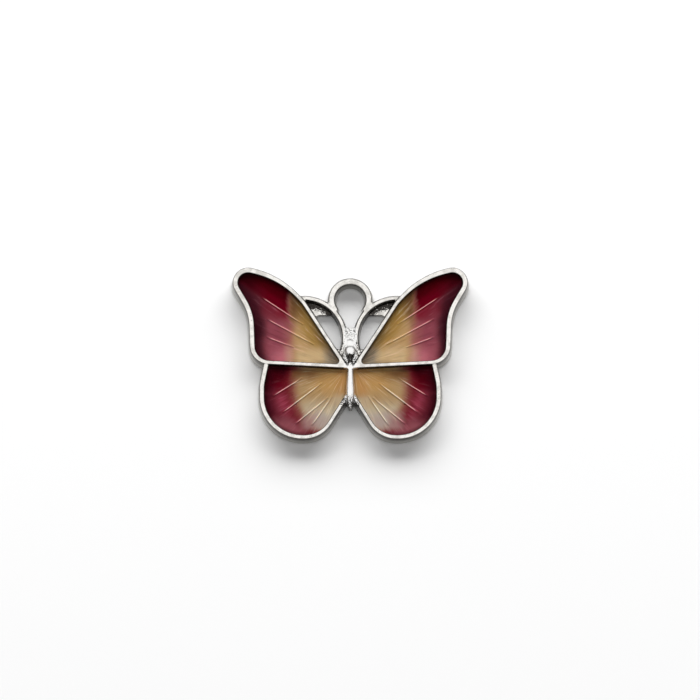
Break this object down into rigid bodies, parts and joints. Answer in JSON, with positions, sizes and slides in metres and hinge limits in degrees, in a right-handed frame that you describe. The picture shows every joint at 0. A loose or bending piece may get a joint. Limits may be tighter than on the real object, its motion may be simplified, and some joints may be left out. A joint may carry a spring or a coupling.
{
  "type": "butterfly charm",
  "caption": "Cast metal butterfly charm with rimmed wings filled in amber and claret enamel, a slim body, curved antennae and a hanging loop between them.",
  "frame": {"origin": "middle of the charm's outline on its flat back", "axes": "+X across the wings to the right seen from the front, +Y towards the hanging loop, +Z out of the enamelled face"},
  "size_m": [0.0254, 0.0188, 0.0023],
  "materials": {
    "plated_zinc": "bright silver plating on die-cast zinc alloy",
    "amber_enamel": "glossy cold enamel",
    "claret_enamel": "glossy cold enamel"
  },
  "bodies": {
    "root": {"body": "plated_zinc", "hanging_loop": "plated_zinc", "left_antenna": "plated_zinc", "right_antenna": "plated_zinc", "left_forewing_frame": "plated_zinc", "right_forewing_frame": "plated_zinc", "left_hindwing_frame": "plated_zinc", "right_hindwing_frame": "plated_zinc", "left_forewing_amber_enamel": "amber_enamel", "right_forewing_amber_enamel": "amber_enamel", "left_forewing_claret_enamel": "claret_enamel", "right_forewing_claret_enamel": "claret_enamel", "left_hindwing_amber_enamel": "amber_enamel", "right_hindwing_amber_enamel": "amber_enamel", "left_hindwing_claret_enamel": "claret_enamel", "right_hindwing_claret_enamel": "claret_enamel"}
  },
  "joints": []
}
